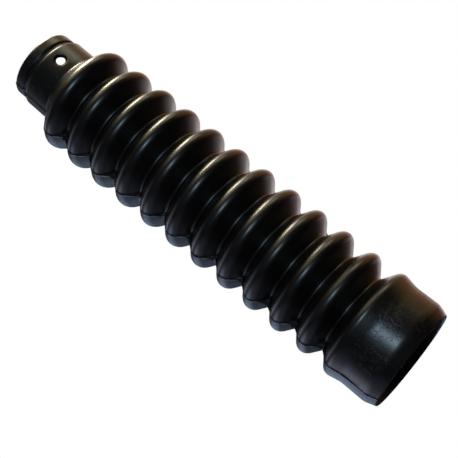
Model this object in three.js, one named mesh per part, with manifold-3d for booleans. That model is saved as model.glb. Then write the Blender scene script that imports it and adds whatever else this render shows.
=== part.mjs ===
// Fork gaiter: the rubber bellows that keeps dirt off the tube of a motorbike's front fork.
// One moulding: a large cuff, a shoulder, eleven folds and a small cuff with a vent hole.
// Millimetres, +Z along the gaiter's axis. The origin is the centre of the large cuff's end face,
// which the gaiter stands on. The vent hole faces -Y.
import * as THREE from 'three';
import { mergeVertices } from 'three/addons/utils/BufferGeometryUtils.js';
import Module from 'manifold-3d';

// Folds. Radii are to the outside of the rubber.
const foldCount = 11;
const foldPitch = 17.1;
const crestRadius = 29.8;
const valleyRadius = 22.3;
const crestRound = 4.4;
const valleyRound = 1.3;
const foldWall = 2;

// Shoulder between the large cuff and the first valley
const shoulderRadius = 30.5;
const shoulderHeight = 28.1;
const shoulderRound = 3.8;

// Large cuff. Its clamp seat lies between the lip and the neck.
const largeBoreRadius = 25.5;
const largeCuffWall = 3.75;
const neckWall = 3.55;
const neckHeight = 20.6;
const lipWall = 1.7;
const lipHeight = 6.4;

// Small cuff. The bead beyond the groove is a little thinner than the cuff.
const smallBoreRadius = 17;
const smallCuffWall = 3.3;
const smallCuffLength = 24.3;
const smallCuffFillet = 1.6;
const beadWall = 2.3;
const beadWidth = 6.6;
const grooveWidth = 1.3;
const grooveDepth = 0.5;

// Vent hole in the small cuff
const ventRadius = 3.1;
const ventToSmallEnd = 17;

// Rounded edges of the cuffs
const endEdgeRound = 0.5;
const cuffEdgeRound = 0.7;
const boreEdgeRound = 2;

// Smoothness of the turned surface
const turnSegments = 36;
const crestSteps = 3;
const valleySteps = 1;
const innerCrestSteps = 1;
const innerValleySteps = 3;
const edgeSteps = 2;
const ventSegments = 20;

// Radii and heights that follow from the sizes above
const largeCuffRadius = largeBoreRadius + largeCuffWall;
const neckRadius = largeBoreRadius + neckWall;
const lipRadius = largeBoreRadius + lipWall;
const smallCuffRadius = smallBoreRadius + smallCuffWall;
const beadRadius = smallBoreRadius + beadWall;
const grooveRadius = beadRadius - grooveDepth;
const crestCentre = crestRadius - crestRound;
const valleyCentre = valleyRadius + valleyRound;
const shoulderCentre = shoulderRadius - shoulderRound;
const topCrestHeight = shoulderHeight + foldCount * foldPitch;

// A fold's flank is the straight line that touches a crest's arc and a valley's arc.
// Its tilt is the angle between the flank and the axis.
const centreStep = crestCentre - valleyCentre;
const centreDistance = Math.hypot(centreStep, foldPitch / 2);
const flankTilt = Math.atan2(centreStep, foldPitch / 2)
  + Math.asin((crestRound + valleyRound) / centreDistance);

// The top fold's outer flank meets the small cuff here, before the corner is filleted
const smallCuffFoot = topCrestHeight + flankRise(smallCuffRadius, crestRound);
const totalHeight = smallCuffFoot + smallCuffLength;

// Height above the top crest at which the line parallel to its upper flank, a given distance
// out from the centre of the crest's arc, passes through a radius
function flankRise(radius, distance) {
  return (distance - (radius - crestCentre) * Math.cos(flankTilt)) / Math.sin(flankTilt);
}

// Points of an arc in the (radius, height) plane. Angles are from the outward radial direction,
// and a negative radius gives a hollow arc that faces outwards.
function arc(centreRadius, centreHeight, radius, from, to, steps) {
  const points = [];
  for (let step = 0; step <= steps; step += 1) {
    const angle = from + (to - from) * step / steps;
    points.push(new THREE.Vector2(
      centreRadius + radius * Math.cos(angle),
      centreHeight + radius * Math.sin(angle),
    ));
  }
  return points;
}

// Angle of the straight run that leaves a point below and touches an arc above it
function tangentAngle(pointRadius, pointHeight, centreRadius, centreHeight, radius) {
  const across = pointRadius - centreRadius;
  const down = pointHeight - centreHeight;
  return Math.atan2(down, across) + Math.acos(radius / Math.hypot(across, down));
}

// The folds from the lowest valley to the top crest, at a depth below the outer surface
function foldPath(depth, crestArcSteps, valleyArcSteps) {
  const points = [];
  for (let fold = 1; fold <= foldCount; fold += 1) {
    const crestHeight = shoulderHeight + fold * foldPitch;
    const valleyHeight = crestHeight - foldPitch / 2;
    points.push(...arc(valleyCentre, valleyHeight, -valleyRound - depth,
      flankTilt, -flankTilt, valleyArcSteps));
    points.push(...arc(crestCentre, crestHeight, crestRound - depth,
      -flankTilt, flankTilt, crestArcSteps));
  }
  return points;
}

// The bend where the top fold's flank, at a depth, runs into a cuff or bore of a given radius
function smallCuffBend(depth, radius, round) {
  const centreHeight = topCrestHeight + flankRise(radius + round, crestRound - depth + round);
  return arc(radius + round, centreHeight, -round, flankTilt, 0, edgeSteps);
}

function outerPath() {
  const lipTilt = Math.atan2(largeCuffRadius - lipRadius, lipHeight - endEdgeRound);
  const shoulderTilt = tangentAngle(neckRadius, neckHeight, shoulderCentre, shoulderHeight, shoulderRound);
  const grooveHeight = totalHeight - beadWidth - grooveWidth;
  return [
    ...arc(lipRadius - endEdgeRound, endEdgeRound, endEdgeRound, -Math.PI / 2, -lipTilt, edgeSteps),
    new THREE.Vector2(largeCuffRadius, lipHeight),
    new THREE.Vector2(neckRadius, neckHeight),
    ...arc(shoulderCentre, shoulderHeight, shoulderRound, shoulderTilt, flankTilt, crestSteps),
    ...foldPath(0, crestSteps, valleySteps),
    ...smallCuffBend(0, smallCuffRadius, smallCuffFillet),
    ...arc(smallCuffRadius - cuffEdgeRound, grooveHeight - cuffEdgeRound, cuffEdgeRound,
      0, Math.PI / 2, edgeSteps),
    new THREE.Vector2(grooveRadius, grooveHeight),
    new THREE.Vector2(grooveRadius, grooveHeight + grooveWidth),
    new THREE.Vector2(beadRadius, grooveHeight + grooveWidth),
    ...arc(beadRadius - endEdgeRound, totalHeight - endEdgeRound, endEdgeRound,
      0, Math.PI / 2, edgeSteps),
  ];
}

function innerPath() {
  const ledgeTilt = tangentAngle(largeBoreRadius, neckHeight, shoulderCentre, shoulderHeight,
    shoulderRound - foldWall);
  return [
    new THREE.Vector2(largeBoreRadius, 0),
    new THREE.Vector2(largeBoreRadius, neckHeight),
    ...arc(shoulderCentre, shoulderHeight, shoulderRound - foldWall, ledgeTilt, flankTilt, edgeSteps),
    ...foldPath(foldWall, innerCrestSteps, innerValleySteps),
    ...smallCuffBend(foldWall, smallBoreRadius, boreEdgeRound),
    new THREE.Vector2(smallBoreRadius, totalHeight),
  ];
}

// Up the outside, across the small end, down the inside and back across the large end
function turnedGaiter() {
  const profile = [...outerPath(), ...innerPath().reverse()];
  profile.push(profile[0].clone());
  const geometry = new THREE.LatheGeometry(profile, turnSegments);
  geometry.rotateX(Math.PI / 2);
  return geometry;
}

// A plug through one side of the small cuff, from inside the bore to clear of the outside
function ventPlug() {
  const length = smallCuffWall + smallBoreRadius;
  const geometry = new THREE.CylinderGeometry(ventRadius, ventRadius, length, ventSegments);
  geometry.translate(0, -smallBoreRadius - smallCuffWall / 2, totalHeight - ventToSmallEnd);
  return geometry;
}

const wasm = await Module();
wasm.setup();

function toSolid(geometry) {
  geometry.deleteAttribute('normal');
  geometry.deleteAttribute('uv');
  const merged = mergeVertices(geometry);
  return new wasm.Manifold(new wasm.Mesh({
    numProp: 3,
    vertProperties: new Float32Array(merged.attributes.position.array),
    triVerts: new Uint32Array(merged.index.array),
  }));
}

function toGeometry(solid) {
  const mesh = solid.getMesh();
  const geometry = new THREE.BufferGeometry();
  geometry.setAttribute('position', new THREE.BufferAttribute(mesh.vertProperties, 3));
  geometry.setIndex(new THREE.BufferAttribute(mesh.triVerts, 1));
  geometry.computeVertexNormals();
  return geometry;
}

const blackRubber = new THREE.MeshStandardMaterial({ color: 0x17171a, roughness: 0.42, metalness: 0 });

const gaiter = new THREE.Mesh(
  toGeometry(toSolid(turnedGaiter()).subtract(toSolid(ventPlug()))),
  blackRubber,
);
gaiter.name = 'gaiter';

const model = new THREE.Group();
model.add(gaiter);

export default model;
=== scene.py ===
import math

import bmesh
import bpy
from mathutils import Matrix, Vector, noise


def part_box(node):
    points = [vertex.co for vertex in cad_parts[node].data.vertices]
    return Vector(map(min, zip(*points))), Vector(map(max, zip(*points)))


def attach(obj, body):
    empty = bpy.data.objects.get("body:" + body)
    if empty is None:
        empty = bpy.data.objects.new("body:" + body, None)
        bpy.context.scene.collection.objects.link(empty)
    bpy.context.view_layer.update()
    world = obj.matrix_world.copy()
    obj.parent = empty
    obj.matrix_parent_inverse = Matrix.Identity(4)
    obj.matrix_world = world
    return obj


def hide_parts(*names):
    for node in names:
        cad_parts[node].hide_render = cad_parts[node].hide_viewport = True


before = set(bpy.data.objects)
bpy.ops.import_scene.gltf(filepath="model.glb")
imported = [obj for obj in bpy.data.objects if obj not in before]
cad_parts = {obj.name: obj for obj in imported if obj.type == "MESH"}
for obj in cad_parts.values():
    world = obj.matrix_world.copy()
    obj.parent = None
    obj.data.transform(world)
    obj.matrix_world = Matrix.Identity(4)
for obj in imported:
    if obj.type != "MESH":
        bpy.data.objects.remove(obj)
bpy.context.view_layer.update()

mm = 0.001
scene = bpy.context.scene
scene.view_settings.view_transform = 'Standard'
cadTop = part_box("gaiter")[1].z
print("frame loaded, gaiter", round(cadTop / mm, 1), "mm tall")

# camera: where the photograph was taken from, round the gaiter's axis
cameraPlace = {
    "distance": 563.1 * mm,       # from the axis
    "height": -47.0 * mm,         # a little below the large cuff's end
    "turn": 21.5,                 # degrees round from the vent hole's side
    "yaw": -0.5650,               # degrees aside from the gaiter's axis
    "tilt": 15.776,               # looks up the gaiter
    "roll": 38.80 - 90,           # the gaiter lies slantwise in the frame
    "lens": 91.67,
    "sensor": 36,
    "clip": (0.01, 20),
}


def makeCamera(place):
    data = bpy.data.cameras.new("camera")
    data.sensor_width = place["sensor"]
    data.lens = place["lens"]
    data.clip_start, data.clip_end = place["clip"]
    camera = bpy.data.objects.new("camera", data)
    scene.collection.objects.link(camera)
    level = Matrix.Rotation(math.radians(90), 4, 'X')        # looks along +Y, +Z up
    tilted = Matrix.Rotation(math.radians(place["tilt"]), 4, 'X')
    yawed = Matrix.Rotation(math.radians(-place["yaw"]), 4, 'Z')
    rolled = Matrix.Rotation(math.radians(place["roll"]), 4, 'Z')
    stepped = Matrix.Translation((0, -place["distance"], place["height"]))
    turned = Matrix.Rotation(math.radians(-place["turn"]), 4, 'Z')
    camera.matrix_world = turned @ stepped @ yawed @ tilted @ level @ rolled
    scene.camera = camera


makeCamera(cameraPlace)
print("camera placed")

# the moulding's section, radii to the outside of the rubber
gaiterForm = {
    "folds": 11,
    "pitch": 17.1 * mm,
    "crest": 29.75 * mm,
    "crestRound": 4.6 * mm,
    "valley": 22.3 * mm,
    "valleyRound": 1.3 * mm,
    "foldWall": 2.0 * mm,
    "shoulder": 30.5 * mm,
    "shoulderHeight": 28.1 * mm,
    "shoulderRound": 3.8 * mm,
    "largeBore": 25.5 * mm,
    "largeCuff": 29.25 * mm,
    "neck": 29.05 * mm,
    "neckHeight": 20.6 * mm,
    "lip": 27.2 * mm,
    "lipHeight": 6.4 * mm,
    "smallBore": 17.0 * mm,
    "smallCuff": 20.3 * mm,
    "bead": 19.3 * mm,
    "beadWidth": 6.0 * mm,
    "grooveWidth": 2.2 * mm,
    "grooveDepth": 0.9 * mm,
}
gaiterRounds = {
    "neck": 14.0 * mm,
    "lip": 9.0 * mm,
    "end": 0.55 * mm,
    "bead": 1.35 * mm,
    "beadFoot": 0.65 * mm,
    "cuffEdge": 1.6 * mm,
    "groove": 0.22 * mm,
    "smallFillet": 1.6 * mm,
    "bore": 2.0 * mm,
    "boreEnd": 0.9 * mm,
}
gaiterSteps = {                   # how many steps each rounding is made in
    "end": 4, "lip": 4, "neck": 4, "shoulder": 8, "crest": 10, "valley": 6,
    "smallFillet": 5, "cuffEdge": 4, "groove": 2, "beadFoot": 4, "bead": 6,
    "innerEnd": 3, "ledge": 2, "innerShoulder": 4, "innerCrest": 4, "innerValley": 6,
    "bore": 4, "boreEnd": 4,
}
gaiterMesh = {
    "longestRun": 3.0 * mm,       # longer straight runs get a cut near both ends
    "runInset": 0.5 * mm,         # this far from the ends, so the runs keep their own shading
    "cuffFrom": 0.4,              # pitches above the top crest, where the small cuff begins
    "cuffStep": 0.9 * mm,         # even steps along the small cuff, round the vent hole
    "partingAngle": 2.0,          # degrees of fine steps at each parting line
    "partingSteps": 8,
    "plainSteps": 78,
    "merge": 0.004 * mm,
}
ventForm = {
    "radius": 3.15 * mm,
    "throat": 2.42 * mm,          # the narrowest place, a little way in
    "throatDepth": 1.05 * mm,
    "inside": 3.7 * mm,           # where it opens into the bore
    "toSmallEnd": 16.0 * mm,
    "patch": 4.7 * mm,            # the ring that joins the cuff's own faces
    "rim": 0.7 * mm,              # rounding of the outer rim
    "innerRim": 0.7 / 3 * mm,
    "rimSteps": 4,
    "margin": 0.2 * mm,           # of plain wall, outside the rim
}
partingForm = {
    "turn": 8.0,                  # degrees the mould's parting is turned from the X axis
    "wander": 0.22 * mm,          # how far the line strays
    "ridge": 0.28 * mm,           # height of the flash line over crests and cuffs
    "halfWidth": 0.62 * mm,
    "webs": (2.7 * mm, 4.8 * mm),     # height of the flash in the valleys, -X side and +X side
    "webRadius": 28.4 * mm,       # the webs start below this radius
    "tears": (12.5 * mm, 28.5 * mm, 31.0 * mm),     # heights of torn places in the -X side's line
    "tearReach": 1.3 * mm,
    "wanderSize": 4.0 * mm,       # sizes of the line's bends, ragged places and nicks
    "raggedSize": 3.0 * mm,
    "nickSize": 0.9 * mm,
    "backStep": 0.13 * mm,        # the back half of the mould was this much larger
    "stepWidth": 0.2 * mm,
    "footBlend": 2.0 * mm,        # no move along the axis at the very foot
}
leanForm = {
    "angle": 2.0,                 # degrees, of the small cuff
    "toward": 68.5,               # degrees round from the vent hole's side
    "foot": 221.0 * mm,
    "blend": 9.0 * mm,
    "endTilt": 1.25,              # tilt of the end face, as a share of the lean
    "twist": 1.3,                 # degrees
    "dip": 1.5 * mm,              # the end is cut lower at the back, as the vent hole shows
    "dipToward": 133.0,
    "dipLength": 28.0 * mm,       # the small cuff's length and radius
    "dipRadius": 19.0 * mm,
}
settledForm = {
    "valleyShift": 0.45 * mm,     # the valleys lie this much to one side of the crests
    "shrink": 0.018,              # of the last two folds and what is round them
    "shrinkFrom": 172.0 * mm,
    "shrinkTo": 222.0 * mm,
    "shrinkEnd": 229.0 * mm,
    "footRise": 0.60 * mm,        # the large end isn't cut quite square
    "footTilt": 0.53 * mm,
    "footToward": 94.0,           # degrees round from the vent hole's side, where it is cut shortest
    "footTop": 10.0 * mm,
}
unevenForm = {
    "drift": 0.22 * mm,           # slow wander of the whole moulding
    "driftLength": 55.0 * mm,
    "driftSeed": 7,
    "driftFoot": 15.0 * mm,       # no rise or fall at the foot, all of it above this height
    "ripple": 0.05 * mm,          # shallow waves in the surface
    "rippleLength": 11.0 * mm,
    "rippleShift": (7, 3, 5),
}


def foldTilt(form):
    # angle between a fold's flank and the axis: the flank touches a crest's arc and a valley's arc
    step = form["crest"] - form["crestRound"] - form["valley"] - form["valleyRound"]
    half = form["pitch"] / 2
    rounds = form["crestRound"] + form["valleyRound"]
    return math.atan2(step, half) + math.asin(rounds / math.hypot(step, half))


def flankRise(form, radius, depth):
    # height above a crest at which its upper flank, at a depth in the wall, is at a radius
    tilt = foldTilt(form)
    centre = form["crest"] - form["crestRound"]
    return (form["crestRound"] - depth - (radius - centre) * math.cos(tilt)) / math.sin(tilt)


def shoulderCorner(form, depth, footRadius):
    # where the shoulder's flank meets the run up from the foot, before it is rounded
    centre = form["shoulder"] - form["shoulderRound"]
    across = footRadius - centre
    down = form["neckHeight"] - form["shoulderHeight"]
    radius = form["shoulderRound"] - depth
    low = math.atan2(down, across) + math.acos(radius / math.hypot(across, down))
    high = foldTilt(form)
    reach = radius / math.cos((high - low) / 2)
    middle = (high + low) / 2
    return centre + reach * math.cos(middle), form["shoulderHeight"] + reach * math.sin(middle)


def foldCorners(form, depth, crestSegments, valleySegments):
    # sharp corners of the folds, upwards: radius, height, rounding, segments
    tilt = foldTilt(form)
    crestRound = form["crestRound"] - depth
    valleyRound = form["valleyRound"] + depth
    crest = form["crest"] - form["crestRound"] + crestRound / math.cos(tilt)
    valley = form["valley"] + form["valleyRound"] - valleyRound / math.cos(tilt)
    corners = []
    for fold in range(1, form["folds"] + 1):
        height = form["shoulderHeight"] + fold * form["pitch"]
        corners.append((valley, height - form["pitch"] / 2, valleyRound, valleySegments))
        corners.append((crest, height, crestRound, crestSegments))
    return corners


def sectionCorners(form, rounds, steps, top):
    # once round the section: up the outside, across the small end and down the inside
    wall = form["foldWall"]
    crestHeight = form["shoulderHeight"] + form["folds"] * form["pitch"]
    cuffFoot = crestHeight + flankRise(form, form["smallCuff"], 0)
    boreFoot = crestHeight + flankRise(form, form["smallBore"], wall)
    groove = top - form["beadWidth"] - form["grooveWidth"]
    bead = groove + form["grooveWidth"]
    bottom = form["bead"] - form["grooveDepth"]
    ledge = shoulderCorner(form, wall, form["largeBore"])
    outside = [
        (form["lip"], 0, rounds["end"], steps["end"]),
        (form["largeCuff"], form["lipHeight"], rounds["lip"], steps["lip"]),
        (form["neck"], form["neckHeight"], rounds["neck"], steps["neck"]),
        (*shoulderCorner(form, 0, form["neck"]), form["shoulderRound"], steps["shoulder"]),
        *foldCorners(form, 0, steps["crest"], steps["valley"]),
        (form["smallCuff"], cuffFoot, rounds["smallFillet"], steps["smallFillet"]),
        (form["smallCuff"], groove, rounds["cuffEdge"], steps["cuffEdge"]),
        (bottom, groove, rounds["groove"], steps["groove"]),
        (bottom, bead, rounds["groove"], steps["groove"]),
        (form["bead"], bead, rounds["beadFoot"], steps["beadFoot"]),
        (form["bead"], top, rounds["bead"], steps["bead"]),
    ]
    inside = [
        (form["largeBore"], 0, rounds["end"], steps["innerEnd"]),
        (form["largeBore"], form["neckHeight"], rounds["end"], steps["ledge"]),
        (*ledge, form["shoulderRound"] - wall, steps["innerShoulder"]),
        *foldCorners(form, wall, steps["innerCrest"], steps["innerValley"]),
        (form["smallBore"], boreFoot, rounds["bore"], steps["bore"]),
        (form["smallBore"], top, rounds["boreEnd"], steps["boreEnd"]),
    ]
    return outside, inside[::-1]


def roundCorner(bm, corner, radius, segments):
    # a vertex bevel whose offset gives an arc of this radius
    ends = [edge.other_vert(corner).co - corner.co for edge in corner.link_edges]
    turn = math.pi - ends[0].angle(ends[1])
    bmesh.ops.bevel(bm, geom=[corner], offset=radius * math.tan(turn / 2), offset_type='OFFSET',
                    segments=segments, profile=0.5, affect='VERTICES', material=-1)


def splitNear(bm, edge, vert, inset):
    # a new vertex on the edge, an inset away from one of its ends
    layer = bm.verts.layers.int["outer"]
    far = edge.other_vert(vert)
    made = bmesh.utils.edge_split(edge, vert, inset / edge.calc_length())[1]
    made[layer] = vert[layer] and far[layer]
    return bm.edges.get((made, far))


def cutRuns(bm, mesh, cuffFoot):
    # even cuts along the small cuff, and one near each end of the other long runs
    for edge in list(bm.edges):
        first, second = edge.verts
        length = edge.calc_length()
        if length < mesh["longestRun"]:
            continue
        if min(first.co.z, second.co.z) > cuffFoot:
            cuts = math.ceil(length / mesh["cuffStep"]) - 1
            bmesh.ops.subdivide_edges(bm, edges=[edge], cuts=cuts)
        else:
            splitNear(bm, splitNear(bm, edge, first, mesh["runInset"]), second, mesh["runInset"])


def spinSection(bm, mesh):
    # half a turn in two stretches, with fine steps where the mould parts, and the other half from it
    ring = bm.verts[:] + bm.edges[:]
    fine = math.radians(mesh["partingAngle"])
    for angle, steps in ((fine, mesh["partingSteps"]), (math.pi - fine, mesh["plainSteps"])):
        made = bmesh.ops.spin(bm, geom=ring, cent=(0, 0, 0), axis=(0, 0, 1), dvec=(0, 0, 0),
                              angle=angle, steps=steps, use_merge=False, use_duplicate=False)
        ring = made["geom_last"]
    other = bmesh.ops.duplicate(bm, geom=bm.verts[:] + bm.edges[:] + bm.faces[:])["geom"]
    otherVerts = [part for part in other if isinstance(part, bmesh.types.BMVert)]
    bmesh.ops.rotate(bm, cent=(0, 0, 0), matrix=Matrix.Rotation(math.pi, 3, 'Z'), verts=otherVerts)
    bmesh.ops.remove_doubles(bm, verts=bm.verts, dist=mesh["merge"])


def growRing(bm, edges, place):
    # extrudes an open loop and puts each new vertex in its place
    made = bmesh.ops.extrude_edge_only(bm, edges=edges)["geom"]
    for part in made:
        if isinstance(part, bmesh.types.BMVert):
            place(part)
    return [part for part in made if isinstance(part, bmesh.types.BMEdge) and part.is_boundary]


def openPatch(bm, vent, height, wall, side):
    # takes the faces round the vent's axis off one side of the wall and rounds the opening
    layer = bm.verts.layers.int["outer"]
    gone = []
    for face in bm.faces:
        centre = face.calc_center_median()
        away = math.hypot(centre.x, centre.z - height)
        if centre.y < 0 and away < vent["patch"] and all(vert[layer] == side for vert in face.verts):
            gone.append(face)
    loop = {edge for face in gone for edge in face.edges}
    bmesh.ops.delete(bm, geom=gone, context='FACES')
    loop = [edge for edge in loop if edge.is_valid and edge.is_boundary]

    def turnOf(vert):
        return math.atan2(vert.co.z - height, vert.co.x)

    verts = sorted({vert for edge in loop for vert in edge.verts}, key=turnOf)
    step = 2 * math.pi / len(verts)
    spare = sum(turnOf(vert) - index * step for index, vert in enumerate(verts))
    for index, vert in enumerate(verts):
        angle = spare / len(verts) + index * step
        across = vent["patch"] * math.cos(angle)
        up = vent["patch"] * math.sin(angle)
        vert.co = (across, -math.sqrt(wall ** 2 - across ** 2), height + up)
    return loop


def cutVent(bm, form, vent, top):
    height = top - vent["toSmallEnd"]

    def placer(wall, radius, depth):
        def place(vert):
            ray = Vector((vert.co.x, vert.co.z - height)).normalized() * radius
            vert.co = (ray.x, depth - math.sqrt(wall ** 2 - ray.x ** 2), height + ray.y)
        return place

    openings = []
    outer = (form["smallCuff"], 1, vent["radius"], vent["rim"])
    inner = (form["smallBore"], 0, vent["inside"], vent["innerRim"])
    for wall, side, hole, rim in (outer, inner):
        loop = openPatch(bm, vent, height, wall, side)
        inward = 1 if side else -1
        loop = growRing(bm, loop, placer(wall, hole + rim + vent["margin"], 0))
        for step in range(vent["rimSteps"] + 1):
            turn = math.pi / 2 * step / vent["rimSteps"]
            radius = hole + rim * (1 - math.sin(turn))
            loop = growRing(bm, loop, placer(wall, radius, inward * rim * (1 - math.cos(turn))))
        if side:
            loop = growRing(bm, loop, placer(wall, vent["throat"], vent["throatDepth"]))
        openings += loop
    bmesh.ops.bridge_loops(bm, edges=openings)
    print("vent hole cut")


def addParting(bm, form, parting):
    # the flash line down both sides, the web left in each valley, and the larger back half
    layer = bm.verts.layers.int["outer"]
    seamLayer = bm.verts.layers.float.new("seam")
    foldsTop = form["shoulderHeight"] + form["folds"] * form["pitch"]
    turned = Matrix.Rotation(math.radians(-parting["turn"]), 3, 'Z')
    bm.normal_update()
    moves = []
    for vert in bm.verts:
        if not vert[layer]:
            continue
        place = turned @ vert.co
        radius = math.hypot(place.x, place.y)
        side = 5.0 if place.x > 0 else 0.0        # each side has its own bends and nicks
        spot = Vector((side * mm, radius, place.z))
        ragged = noise.noise(spot / parting["raggedSize"])
        nick = noise.noise(spot / parting["nickSize"])
        bend = noise.noise(Vector((side, 2, place.z / parting["wanderSize"])))
        torn = 0
        if not side:
            near = min(abs(place.z - tear) for tear in parting["tears"])
            torn = max(0, 1 - near / parting["tearReach"])
        away = radius * math.atan2(place.y, abs(place.x))
        away += (bend + 0.5 * nick + torn) * parting["wander"]
        back = min(1, max(0, 0.5 + away / parting["stepWidth"])) * parting["backStep"]
        width = parting["halfWidth"] * (1 + 0.5 * ragged + 0.5 * nick + torn)
        line = max(0, 1 - abs(away) / width)
        vert[seamLayer] = line * (0.9 + 0.4 * ragged)
        move = vert.normal * (back + line * parting["ridge"] * (1 + 0.7 * ragged + 0.7 * nick))
        if line > 0 and form["shoulderHeight"] < vert.co.z < foldsTop and radius < parting["webRadius"]:
            depth = (parting["webRadius"] - radius) / (parting["webRadius"] - form["valley"])
            outwards = Vector((vert.co.x, vert.co.y, 0)) / radius
            web = parting["webs"][place.x > 0] * depth ** 2 * (0.85 + 0.7 * ragged + 0.5 * nick)
            move += outwards * min(1, 2 * line) * web
        move.z *= min(1, vert.co.z / parting["footBlend"])
        moves.append((vert, move))
    for vert, move in moves:
        vert.co += move


def leanCuff(bm, lean):
    # the small cuff leans, is a little twisted, and its end is cut lower at the back
    toward = math.radians(lean["toward"])
    direction = Vector((math.sin(toward), -math.cos(toward), 0))
    back = math.radians(lean["dipToward"])
    backwards = Vector((math.sin(back), -math.cos(back), 0))
    slope = math.tan(math.radians(lean["angle"]))
    for vert in bm.verts:
        rise = vert.co.z - lean["foot"]
        if rise > 0:
            share = min(1, rise / lean["blend"])
            across = vert.co.dot(direction)
            vert.co += direction * slope * (rise - lean["blend"] / 2 * share) * share
            low = min(1, rise / lean["dipLength"]) * max(0, vert.co.dot(backwards)) / lean["dipRadius"]
            vert.co.z -= slope * share * across * lean["endTilt"] + lean["dip"] * low ** 2
            vert.co.xy = Matrix.Rotation(math.radians(lean["twist"] * share), 2) @ vert.co.xy


def rampUp(value, low, high):
    return min(1, max(0, (value - low) / (high - low)))


def settleFolds(bm, form, settled, toward):
    # the valleys lie a little to one side, the last folds came out smaller, and the large end
    # isn't cut square
    aside = Vector((math.sin(math.radians(toward)), -math.cos(math.radians(toward)), 0))
    cut = math.radians(settled["footToward"])
    for vert in bm.verts:
        fold = (vert.co.z - form["shoulderHeight"]) / form["pitch"]
        if 0 < fold < form["folds"]:
            vert.co -= aside * settled["valleyShift"] * (0.5 - 0.5 * math.cos(2 * math.pi * fold))
        rise = rampUp(vert.co.z, settled["shrinkFrom"], settled["shrinkTo"])
        share = rise * rise * (3 - 2 * rise)
        share *= rampUp(-vert.co.z, -settled["shrinkEnd"], -settled["shrinkTo"])
        vert.co.xy *= 1 - settled["shrink"] * share
        low = max(0, 1 - vert.co.z / settled["footTop"])
        toCut = (vert.co.x * math.sin(cut) - vert.co.y * math.cos(cut)) / form["largeCuff"]
        vert.co.z += low * (settled["footRise"] + settled["footTilt"] * toCut)


def makeUneven(bm, uneven):
    noise.seed_set(uneven["driftSeed"])       # else the drift comes out different in each run
    shift = Vector(uneven["rippleShift"])
    for vert in bm.verts:
        drift = noise.noise_vector(vert.co / uneven["driftLength"]) * uneven["drift"]
        drift.z *= min(1, vert.co.z / uneven["driftFoot"])
        around = Vector((vert.co.x, vert.co.y, 0)).normalized()
        ripple = noise.noise(vert.co / uneven["rippleLength"] + shift) * uneven["ripple"]
        vert.co += drift + around * ripple


def makeGaiter(form, rounds, steps, mesh, top):
    bm = bmesh.new()
    outerLayer = bm.verts.layers.int.new("outer")
    outside, inside = sectionCorners(form, rounds, steps, top)
    corners = []
    for radius, height, *rounding in outside + inside:
        corners.append((bm.verts.new((radius, 0, height)), *rounding))
        corners[-1][0][outerLayer] = len(corners) <= len(outside)
    verts = [corner[0] for corner in corners]
    for first, second in zip(verts, verts[1:] + verts[:1]):
        bm.edges.new((first, second))
    for corner, radius, segments in corners:
        roundCorner(bm, corner, radius, segments)
    cuffFoot = form["shoulderHeight"] + (form["folds"] + mesh["cuffFrom"]) * form["pitch"]
    cutRuns(bm, mesh, cuffFoot)
    print("section", len(bm.verts), "points")
    start = math.radians(partingForm["turn"] - mesh["partingAngle"] / 2)
    bmesh.ops.rotate(bm, cent=(0, 0, 0), matrix=Matrix.Rotation(start, 3, 'Z'), verts=bm.verts)
    spinSection(bm, mesh)
    cutVent(bm, form, ventForm, top)
    bmesh.ops.recalc_face_normals(bm, faces=bm.faces)
    addParting(bm, form, partingForm)
    settleFolds(bm, form, settledForm, leanForm["toward"])
    leanCuff(bm, leanForm)
    makeUneven(bm, unevenForm)
    return bm


def makePiece(name, bm):
    data = bpy.data.meshes.new(name)
    bm.to_mesh(data)
    bm.free()
    data.shade_smooth()
    piece = bpy.data.objects.new(name, data)
    scene.collection.objects.link(piece)
    return piece


gaiterShape = makeGaiter(gaiterForm, gaiterRounds, gaiterSteps, gaiterMesh, cadTop)
gaiter = makePiece("gaiter_rubber", gaiterShape)
print("gaiter made", len(gaiter.data.polygons), "faces")


# node helpers: each takes the tree it works in
def fillInputs(tree, node, inputs):
    for name, value in inputs.items():
        if isinstance(value, bpy.types.NodeSocket):
            tree.links.new(value, node.inputs[name])
        else:
            node.inputs[name].default_value = value


def addNode(tree, kind, inputs=None, output=0, **settings):
    # gives one output back, or all of them for output=None
    node = tree.nodes.new('ShaderNode' + kind)
    for name, value in settings.items():
        setattr(node, name, value)
    fillInputs(tree, node, inputs or {})
    return node.outputs if output is None else node.outputs[output]


def calc(tree, operation, *values):
    return addNode(tree, 'Math', dict(enumerate(values)), operation=operation)


def addUp(tree, first, *others):
    # each of the others is a mask and the amount it adds
    for mask, amount in others:
        first = calc(tree, 'ADD', first, calc(tree, 'MULTIPLY', mask, amount))
    return first


def fade(tree, value, low, high, fromValue=0.0, toValue=1.0):
    # runs from one value to another while the input goes from low to high
    return addNode(tree, 'MapRange', {"Value": value, "From Min": low, "From Max": high,
                                      "To Min": fromValue, "To Max": toValue},
                   interpolation_type='SMOOTHSTEP')


def mixColours(tree, factor, first, second, blend='MIX'):
    # 6, 7 and output 2 are a mix node's colour sockets, which share their names with others
    return addNode(tree, 'Mix', {0: factor, 6: first, 7: second}, output=2,
                   data_type='RGBA', blend_type=blend)


def noiseAt(tree, vector, size, detail=2.0, distortion=0.0):
    return addNode(tree, 'TexNoise', {"Vector": vector, "Scale": 1 / size, "Detail": detail,
                                      "Distortion": distortion})


def stretched(tree, vector, scale, turn):
    return addNode(tree, 'Mapping', {"Vector": vector, "Scale": scale, "Rotation": turn})


def addOutput(tree, kind):
    return tree.nodes.new('ShaderNodeOutput' + kind)


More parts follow.
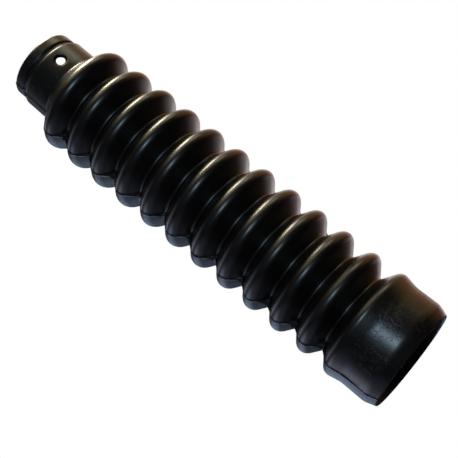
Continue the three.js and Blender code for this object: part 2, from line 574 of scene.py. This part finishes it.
def newGroup(name, inputs, outputs):
    group = bpy.data.node_groups.new(name, 'ShaderNodeTree')
    for title, kind, value in inputs:
        socket = group.interface.new_socket(name=title, in_out='INPUT', socket_type=kind)
        if value is not None:
            socket.default_value = value
    for title, kind in outputs:
        group.interface.new_socket(name=title, in_out='OUTPUT', socket_type=kind)
    given = group.nodes.new('NodeGroupInput').outputs
    return group, given, group.nodes.new('NodeGroupOutput').inputs


def placeGroup(tree, group, inputs):
    node = tree.nodes.new('ShaderNodeGroup')
    node.node_tree = group
    fillInputs(tree, node, inputs)
    return node.outputs


# the fine skin of a rubber moulding: grain with a few pits. Lengths of the looks below are in mm
grainLook = {
    "detail": 3.0,
    "pitCells": 0.3,              # cells for pits, against the grain's scale
    "pitEdge": (0.04, 0.12),
    "pitDepth": 1.5,
}


def makeGrainGroup(look):
    group, given, made = newGroup("mouldedGrain", [
        ("Vector", 'NodeSocketVector', None),
        ("Size", 'NodeSocketFloat', 0.5),
        ("Depth", 'NodeSocketFloat', 0.01),
    ], [("Height", 'NodeSocketFloat')])
    scale = calc(group, 'DIVIDE', 1.0, given["Size"])
    grain = addNode(group, 'TexNoise', {"Vector": given["Vector"], "Scale": scale,
                                        "Detail": look["detail"]})
    spots = addNode(group, 'TexVoronoi', {"Vector": given["Vector"],
                                          "Scale": calc(group, 'MULTIPLY', scale, look["pitCells"])})
    pits = fade(group, spots, *look["pitEdge"], 1.0, 0.0)
    height = addUp(group, calc(group, 'SUBTRACT', grain, 0.5), (pits, -look["pitDepth"]))
    group.links.new(calc(group, 'MULTIPLY', height, given["Depth"]), made["Height"])
    return group


# rubbed places: short scratches and blotches gathered in patches
rubLook = {
    "patchSize": 14.0,
    "patchEdge": (0.42, 0.62),
    "blotchSize": 1.9,
    "blotchEdge": (0.55, 0.64),
    "blotchShare": 0.6,
    "scratches": [                # stretch, turn and edge of each of two layers
        ((1.1, 1.1, 0.16), (0.5, 0.35, 0.2), (0.63, 0.67)),
        ((0.2, 0.2, 1.3), (0.2, -0.3, 0.6), (0.64, 0.68)),
    ],
}


def makeRubGroup(look):
    group, given, made = newGroup("rubbedMarks", [
        ("Vector", 'NodeSocketVector', None),
        ("Amount", 'NodeSocketFloat', 0.5),
    ], [("Mask", 'NodeSocketFloat')])
    patches = fade(group, noiseAt(group, given["Vector"], look["patchSize"]), *look["patchEdge"])
    blotches = noiseAt(group, given["Vector"], look["blotchSize"], detail=3.0, distortion=0.6)
    marks = calc(group, 'MULTIPLY', fade(group, blotches, *look["blotchEdge"]), look["blotchShare"])
    for stretch, turn, edge in look["scratches"]:
        along = stretched(group, given["Vector"], stretch, turn)
        layer = noiseAt(group, along, 1.0, distortion=0.3)
        marks = calc(group, 'MAXIMUM', marks, fade(group, layer, *edge))
    mask = calc(group, 'MULTIPLY', calc(group, 'MULTIPLY', marks, patches), given["Amount"])
    group.links.new(mask, made["Mask"])
    return group


# specks of lint and grit, one in each of a few cells
speckLook = {
    "bend": 0.9,                  # scale of the bends in their outlines
    "edge": (0.05, 0.11),         # distance from the cell's point, in cells
}


def makeSpeckGroup(look):
    group, given, made = newGroup("dustSpecks", [
        ("Vector", 'NodeSocketVector', None),
        ("Cell", 'NodeSocketFloat', 2.0),
        ("Share", 'NodeSocketFloat', 0.2),
    ], [("Mask", 'NodeSocketFloat')])
    bend = addNode(group, 'TexNoise', {"Vector": given["Vector"], "Scale": look["bend"]},
                   output="Color")
    bent = addNode(group, 'VectorMath', {0: given["Vector"], 1: bend}, operation='ADD')
    cells = addNode(group, 'TexVoronoi', {
        "Vector": bent, "Scale": calc(group, 'DIVIDE', 1.0, given["Cell"]),
    }, output=None)
    pick = addNode(group, 'SeparateColor', {"Color": cells["Color"]})
    chosen = calc(group, 'LESS_THAN', pick, given["Share"])
    near = fade(group, cells["Distance"], *look["edge"], 1.0, 0.0)
    group.links.new(calc(group, 'MULTIPLY', near, chosen), made["Mask"])
    return group


grainGroup = makeGrainGroup(grainLook)
rubGroup = makeRubGroup(rubLook)
speckGroup = makeSpeckGroup(speckLook)

rubberLook = {
    "black": (0.0010, 0.0010, 0.0011, 1),
    "bloom": (0.0036, 0.0033, 0.0032, 1),         # the greyish film that comes to a rubber's surface
    # the back half's lighter bluish grey is a painted reflection of pale surroundings
    "backHalfAndSheen": (0.0060, 0.0068, 0.0080, 1),
    "seam": (0.0008, 0.0008, 0.0008, 1),
    "dust": (0.22, 0.21, 0.19, 1),
    "rubbed": (0.010, 0.010, 0.011, 1),
    "bloomShare": 0.35,
    "backHalfShare": 0.7,
    "dustShare": 0.5,
    "ior": 1.5,
    "roughness": 0.335,
    "roughnessBy": {              # added where each mask is full
        "cloud": 0.10, "backHalfAndSheen": 0.14, "rubbed": 0.16, "film": 0.03,
        "seam": 0.55, "specks": 0.4, "cutEnds": 0.5, "dents": -0.08,
    },
    "roughnessMost": 0.95,
    "liftBy": {"rubbed": -0.025, "specks": 0.06, "dents": -0.035},      # mm
    "grainSize": 0.45,
    "grainDepth": 0.0014,
    "filmSize": 26.0,
    "filmEdge": (0.40, 0.72),
    "cloudSize": 6.0,
    "dentSize": 1.5,
    "dentEdge": (0.50, 0.66),
    "scuffPlace": (-5.9, -28.5, 17.0),            # the worst rubbed place of the large cuff
    "scuffEdge": (4.0, 13.0),                     # mm away from it
    "speckCell": 2.6,
    "specks": 0.012,                              # share of the cells that hold one
    "specksInValleys": 0.10,                      # added there
    "rub": 0.12,                                  # everywhere, and more on the cuffs
    "rubLargeCuff": 0.85,
    "rubSmallCuff": 0.75,
    "backHalfEdge": (-0.05, 0.20),                # mm behind the parting
    "seamEdge": (0.08, 0.45),
    "largeCuffTop": (20.0, 27.0),                 # heights, in mm
    "foldsFoot": (30.0, 33.0),
    "foldsEnd": (0.0, 4.0),                       # above the top crest
    "smallCuffFoot": (7.0, 10.0),
    "largeEndCut": (0.35, 1.2),
    "smallEndCut": (-0.7, -0.2),                  # from the small end
    "valleyTop": 25.5,                            # radius where a valley's dust ends
}


def makeRubber(look, form, top):
    material = bpy.data.materials.new("moulded_rubber")
    material.use_nodes = True
    tree = material.node_tree
    shader = tree.nodes["Principled BSDF"]
    coords = addNode(tree, 'TexCoord', output="Object")
    point = addNode(tree, 'VectorMath', {0: coords, "Scale": 1 / mm}, operation='SCALE')      # in mm
    across, depth, height = addNode(tree, 'SeparateXYZ', {0: point}, output=None)
    squares = calc(tree, 'ADD', calc(tree, 'POWER', across, 2.0), calc(tree, 'POWER', depth, 2.0))
    radius = calc(tree, 'SQRT', squares)
    foldsTop = (form["shoulderHeight"] + form["folds"] * form["pitch"]) / mm

    def fadeFrom(start, edge, *values):
        return fade(tree, height, start + edge[0], start + edge[1], *values)

    turn = math.radians(partingForm["turn"])
    behind = addNode(tree, 'VectorMath', {0: point, 1: (-math.sin(turn), math.cos(turn), 0)},
                     output="Value", operation='DOT_PRODUCT')
    # the back half: rougher for real, and its colour carries a painted reflection
    backHalfAndSheen = fade(tree, behind, *look["backHalfEdge"])
    line = addNode(tree, 'Attribute', output="Fac", attribute_name="seam")
    seam = fade(tree, line, *look["seamEdge"])
    largeCuff = fadeFrom(0, look["largeCuffTop"], 1.0, 0.0)
    smallCuff = fadeFrom(foldsTop, look["smallCuffFoot"])
    folds = calc(tree, 'MULTIPLY', fadeFrom(0, look["foldsFoot"]),
                 fadeFrom(foldsTop, look["foldsEnd"], 1.0, 0.0))
    cutEnds = calc(tree, 'MAXIMUM', fadeFrom(0, look["largeEndCut"], 1.0, 0.0),
                   fadeFrom(top / mm, look["smallEndCut"]))
    fromScuff = addNode(tree, 'VectorMath', {0: point, 1: look["scuffPlace"]},
                        output="Value", operation='DISTANCE')
    scuffed = fade(tree, fromScuff, *look["scuffEdge"], 1.0, 0.0)
    inValley = fade(tree, radius, form["valley"] / mm, look["valleyTop"], 1.0, 0.0)
    valleys = calc(tree, 'MULTIPLY', inValley, folds)

    grain = placeGroup(tree, grainGroup, {
        "Vector": point, "Size": look["grainSize"], "Depth": look["grainDepth"],
    })
    rubAmount = addUp(tree, look["rub"], (largeCuff, look["rubLargeCuff"]),
                      (smallCuff, look["rubSmallCuff"]))
    rub = placeGroup(tree, rubGroup, {"Vector": point, "Amount": rubAmount})
    dented = noiseAt(tree, point, look["dentSize"], detail=3.0, distortion=0.8)
    dents = calc(tree, 'MULTIPLY', fade(tree, dented, *look["dentEdge"]), scuffed)
    specks = placeGroup(tree, speckGroup, {
        "Vector": point, "Cell": look["speckCell"],
        "Share": addUp(tree, look["specks"], (valleys, look["specksInValleys"])),
    })
    filmed = noiseAt(tree, point, look["filmSize"], detail=4.0, distortion=0.4)
    film = fade(tree, filmed, *look["filmEdge"])
    cloud = calc(tree, 'SUBTRACT', noiseAt(tree, point, look["cloudSize"], detail=3.0), 0.5)

    bloomed = calc(tree, 'MULTIPLY', film, look["bloomShare"])
    colour = mixColours(tree, bloomed, look["black"], look["bloom"])
    # painted reflection: the back half is tinted lighter bluish grey, as if it caught pale surroundings
    paintedSheenBehindParting = calc(tree, 'MULTIPLY', backHalfAndSheen, look["backHalfShare"])
    colour = mixColours(tree, paintedSheenBehindParting, colour, look["backHalfAndSheen"])
    colour = mixColours(tree, rub["Mask"], colour, look["rubbed"])
    colour = mixColours(tree, seam, colour, look["seam"])
    dusty = calc(tree, 'MULTIPLY', specks["Mask"], look["dustShare"])
    colour = mixColours(tree, dusty, colour, look["dust"])

    masks = {"cloud": cloud, "backHalfAndSheen": backHalfAndSheen, "rubbed": rub["Mask"], "film": film,
             "seam": seam, "specks": specks["Mask"], "cutEnds": cutEnds, "dents": dents}
    rougher = [(masks[name], amount) for name, amount in look["roughnessBy"].items()]
    rough = addUp(tree, look["roughness"], *rougher)
    lifted = [(masks[name], amount) for name, amount in look["liftBy"].items()]
    lift = addUp(tree, grain["Height"], *lifted)
    fillInputs(tree, shader, {
        "Base Color": colour,
        "Roughness": calc(tree, 'MINIMUM', rough, look["roughnessMost"]),
        "Normal": addNode(tree, 'Bump', {"Height": lift, "Distance": mm, "Strength": 1.0}),
        "IOR": look["ior"],
    })
    return material


gaiter.data.materials.append(makeRubber(rubberLook, gaiterForm, cadTop))
print("rubber made")


# lamps: directions are round from the camera towards its right, and up, in degrees. The ceiling
# lights what is matt, the other two show only in the gloss
lamps = {
    "flash": {"azimuth": 5, "elevation": -5, "distance": 0.50, "size": (0.10, 0.10),
              "power": 0.62, "colour": (0.72, 1.0, 1.22), "hidden": "visible_diffuse"},
    "ceiling": {"azimuth": 104, "elevation": 66, "distance": 1.2, "size": (0.42, 0.42),
                "power": 9.0, "colour": (1.15, 1.0, 0.72), "hidden": "visible_glossy"},
    "streak": {"azimuth": 107.5, "elevation": 65.0, "distance": 1.2, "size": (0.60, 0.42),
               "power": 20.6, "colour": (1.15, 1.0, 0.72), "hidden": "visible_diffuse"},
}
# metres from the lamp: the lowest folds get little
streakReach = {"full": 1.242, "faint": 1.272}
target = Vector((0, 0, 120 * mm))


def wayTo(azimuth, elevation):
    around = math.radians(azimuth - cameraPlace["turn"])
    up = math.radians(elevation)
    return Vector((math.cos(up) * math.sin(around), -math.cos(up) * math.cos(around), math.sin(up)))


def makeLamp(name, place):
    data = bpy.data.lights.new(name, 'AREA')
    data.shape = 'ELLIPSE'
    data.size, data.size_y = place["size"]
    data.energy = place["power"]
    data.color = place["colour"]
    lamp = bpy.data.objects.new(name, data)
    way = wayTo(place["azimuth"], place["elevation"])
    lamp.location = target + way * place["distance"]
    lamp.rotation_euler = way.to_track_quat('Z', 'Y').to_euler()
    setattr(lamp, place["hidden"], False)
    scene.collection.objects.link(lamp)
    return lamp


def limitReach(lamp, reach):
    # the lamp's light fades out over a short span of distance from it, so what is farthest away gets
    # little
    lamp.data.use_nodes = True
    tree = lamp.data.node_tree
    tree.nodes.clear()
    away = addNode(tree, 'LightPath', output="Ray Length")
    strength = fade(tree, away, reach["full"], reach["faint"], 1.0, 0.0)
    glow = addNode(tree, 'Emission', {"Strength": strength})
    tree.links.new(glow, addOutput(tree, 'Light').inputs["Surface"])


studioLamps = {name: makeLamp(name, place) for name, place in lamps.items()}
limitReach(studioLamps["streak"], streakReach)
print("lamps placed")

# what the rubber reflects: soft fields of light round it, by direction
skyFields = [
    {"azimuth": -164, "elevation": -32, "inner": 1, "outer": 9, "colour": (6.3, 8.9, 13.4)},
    {"azimuth": -108, "elevation": 8, "inner": 3, "outer": 19, "colour": (1.35, 1.45, 1.80)},
    {"azimuth": -108, "elevation": 48, "inner": 4, "outer": 23, "colour": (0.50, 0.53, 0.62)},
    {"azimuth": 84, "elevation": 31, "inner": 8, "outer": 16, "colour": (3.39, 3.21, 2.45)},
    {"azimuth": 164, "elevation": 26, "inner": 1, "outer": 32, "colour": (1.32, 1.50, 1.36)},
    {"azimuth": 161, "elevation": -5, "inner": 3, "outer": 11, "colour": (1.51, 1.73, 1.71)},
    {"azimuth": 48, "elevation": 54, "inner": 5, "outer": 31, "colour": (1.86, 1.62, 1.06)},
    {"azimuth": -139, "elevation": 39, "inner": 2, "outer": 10, "colour": (1.39, 1.45, 1.85)},
    {"azimuth": -140, "elevation": 2, "inner": 5, "outer": 23, "colour": (1.36, 1.80, 2.58)},
    {"azimuth": 145, "elevation": -18, "inner": 1, "outer": 9, "colour": (0.62, 0.90, 0.86)},
    {"azimuth": 146, "elevation": 2, "inner": 2, "outer": 11, "colour": (0.55, 0.52, 0.42)},
    {"azimuth": 108, "elevation": 13, "inner": 24, "outer": 32, "colour": (0.43, 0.35, 0.13)},
    {"azimuth": -101, "elevation": -17, "inner": 11, "outer": 42, "colour": (0.25, 0.27, 0.38)},
    {"azimuth": -8, "elevation": 19, "inner": 1, "outer": 85, "colour": (0.045, 0.055, 0.070)},
    {"azimuth": 142, "elevation": 15, "inner": 16, "outer": 48, "colour": (0.42, 0.03, 0.01)},
]
skyLook = {
    "ground": (0.016, 0.012, 0.012, 1),   # everywhere else
    "soft": (0.36, 0.36, 0.37, 1),        # the plain light that falls on matt things
}


def makeSky(fields, look):
    world = bpy.data.worlds.new("studio")
    scene.world = world
    world.use_nodes = True
    tree = world.node_tree
    tree.nodes.clear()
    way = addNode(tree, 'TexCoord', output="Generated")
    total = look["ground"]
    for field in fields:
        facing = addNode(tree, 'VectorMath', {0: way, 1: wayTo(field["azimuth"], field["elevation"])},
                         output="Value", operation='DOT_PRODUCT')
        outer, inner = (math.cos(math.radians(field[edge])) for edge in ("outer", "inner"))
        share = fade(tree, facing, outer, inner)
        total = mixColours(tree, share, total, (*field["colour"], 1), 'ADD')
    light = addNode(tree, 'LightPath', output=None)
    seen = calc(tree, 'MAXIMUM', light["Is Camera Ray"], light["Is Transmission Ray"])
    total = mixColours(tree, light["Is Diffuse Ray"], total, look["soft"])
    total = mixColours(tree, seen, total, (1, 1, 1, 1))
    shown = addNode(tree, 'Background', {"Color": total, "Strength": 1.0})
    tree.links.new(shown, addOutput(tree, 'World').inputs["Surface"])


makeSky(skyFields, skyLook)
print("sky made")

floorForm = {
    "radius": 3.0,
    "segments": 96,
    "colour": (0.80, 0.80, 0.79, 1),
}


def makeFloor(form):
    # pale from above. It isn't there from below, where the camera of the photograph is, or in
    # the rubber's gloss
    bm = bmesh.new()
    bmesh.ops.create_circle(bm, cap_ends=True, segments=form["segments"], radius=form["radius"])
    floor = makePiece("floor", bm)
    material = bpy.data.materials.new("pale_floor")
    material.use_nodes = True
    tree = material.node_tree
    tree.nodes.clear()
    matt = addNode(tree, 'BsdfDiffuse', {"Color": form["colour"]})
    clear = addNode(tree, 'BsdfTransparent')
    below = addNode(tree, 'NewGeometry', output="Backfacing")
    gloss = addNode(tree, 'LightPath', output="Is Glossy Ray")
    mixed = addNode(tree, 'MixShader', {0: calc(tree, 'MAXIMUM', below, gloss), 1: matt, 2: clear})
    tree.links.new(mixed, addOutput(tree, 'Material').inputs["Surface"])
    floor.data.materials.append(material)
    return floor


floor = makeFloor(floorForm)
print("floor made")

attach(gaiter, "root")
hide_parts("gaiter")
